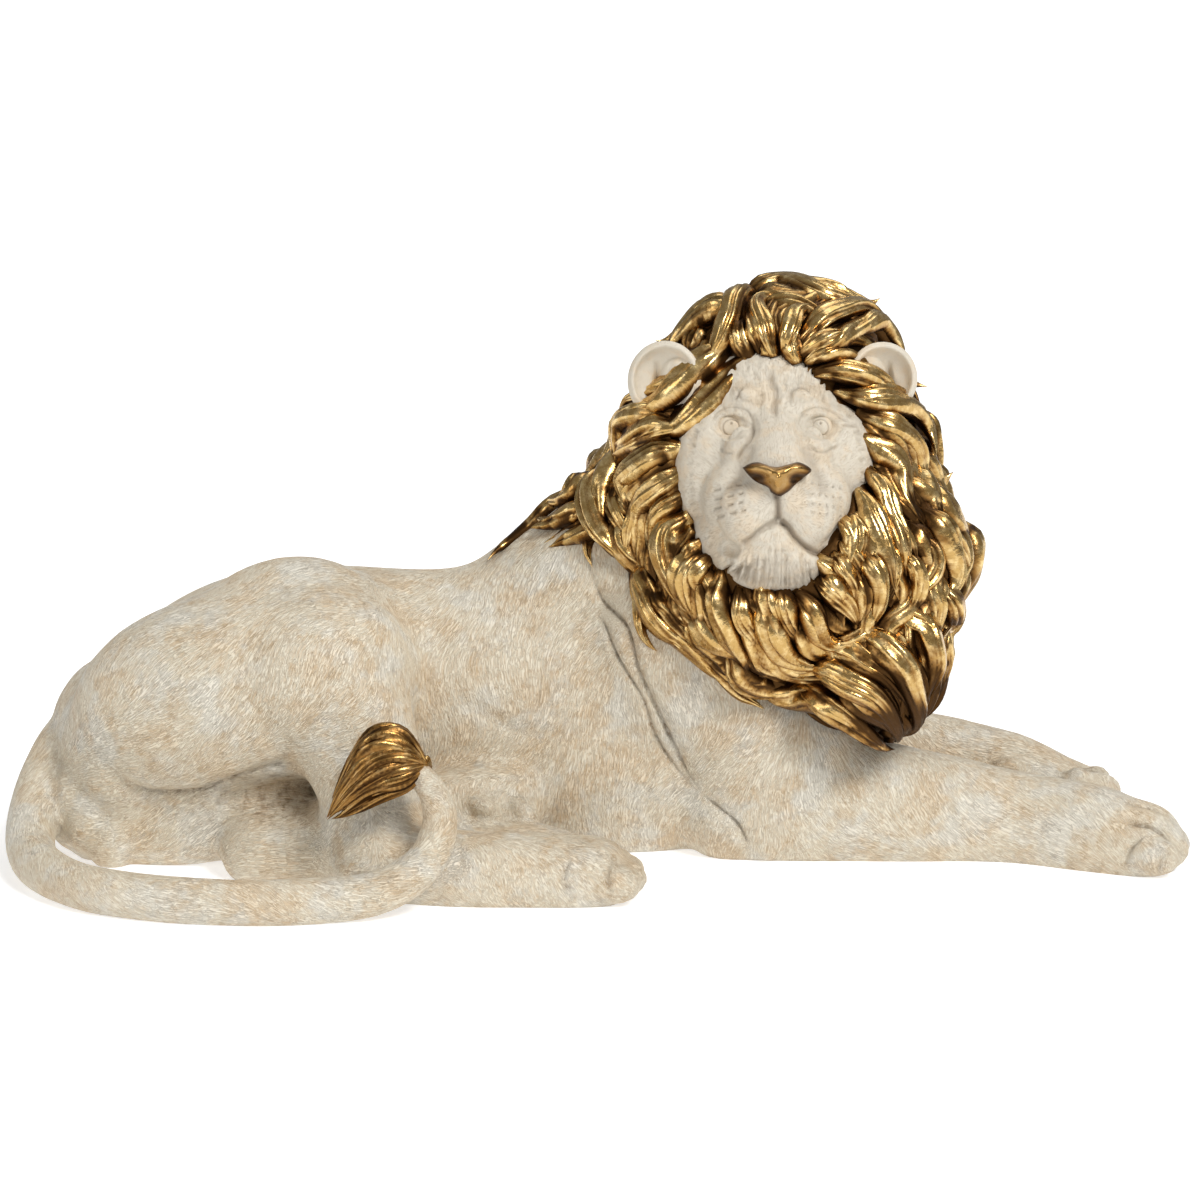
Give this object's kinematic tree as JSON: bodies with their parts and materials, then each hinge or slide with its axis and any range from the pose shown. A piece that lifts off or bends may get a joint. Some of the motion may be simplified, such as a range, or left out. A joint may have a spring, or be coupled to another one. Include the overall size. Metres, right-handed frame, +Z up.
{
  "type": "lion figurine",
  "caption": "Reclining lion statue cast in one piece, head turned to the side, cream coat with a gilt mane, nose and tail tuft.",
  "frame": {"origin": "on the ground, under the middle of the figure's bounding box", "axes": "+X along the body from rump to chest and forepaws, -Y the side that the head faces, +Z up"},
  "size_m": [0.5957, 0.2446, 0.2913],
  "materials": {
    "cream_paint": "cream paint with an ochre wash in the carved fur",
    "gold_paint": "antique gold leaf paint on the mane, nose and tail tuft"
  },
  "bodies": {
    "root": {"lion": "cream_paint"}
  },
  "joints": []
}
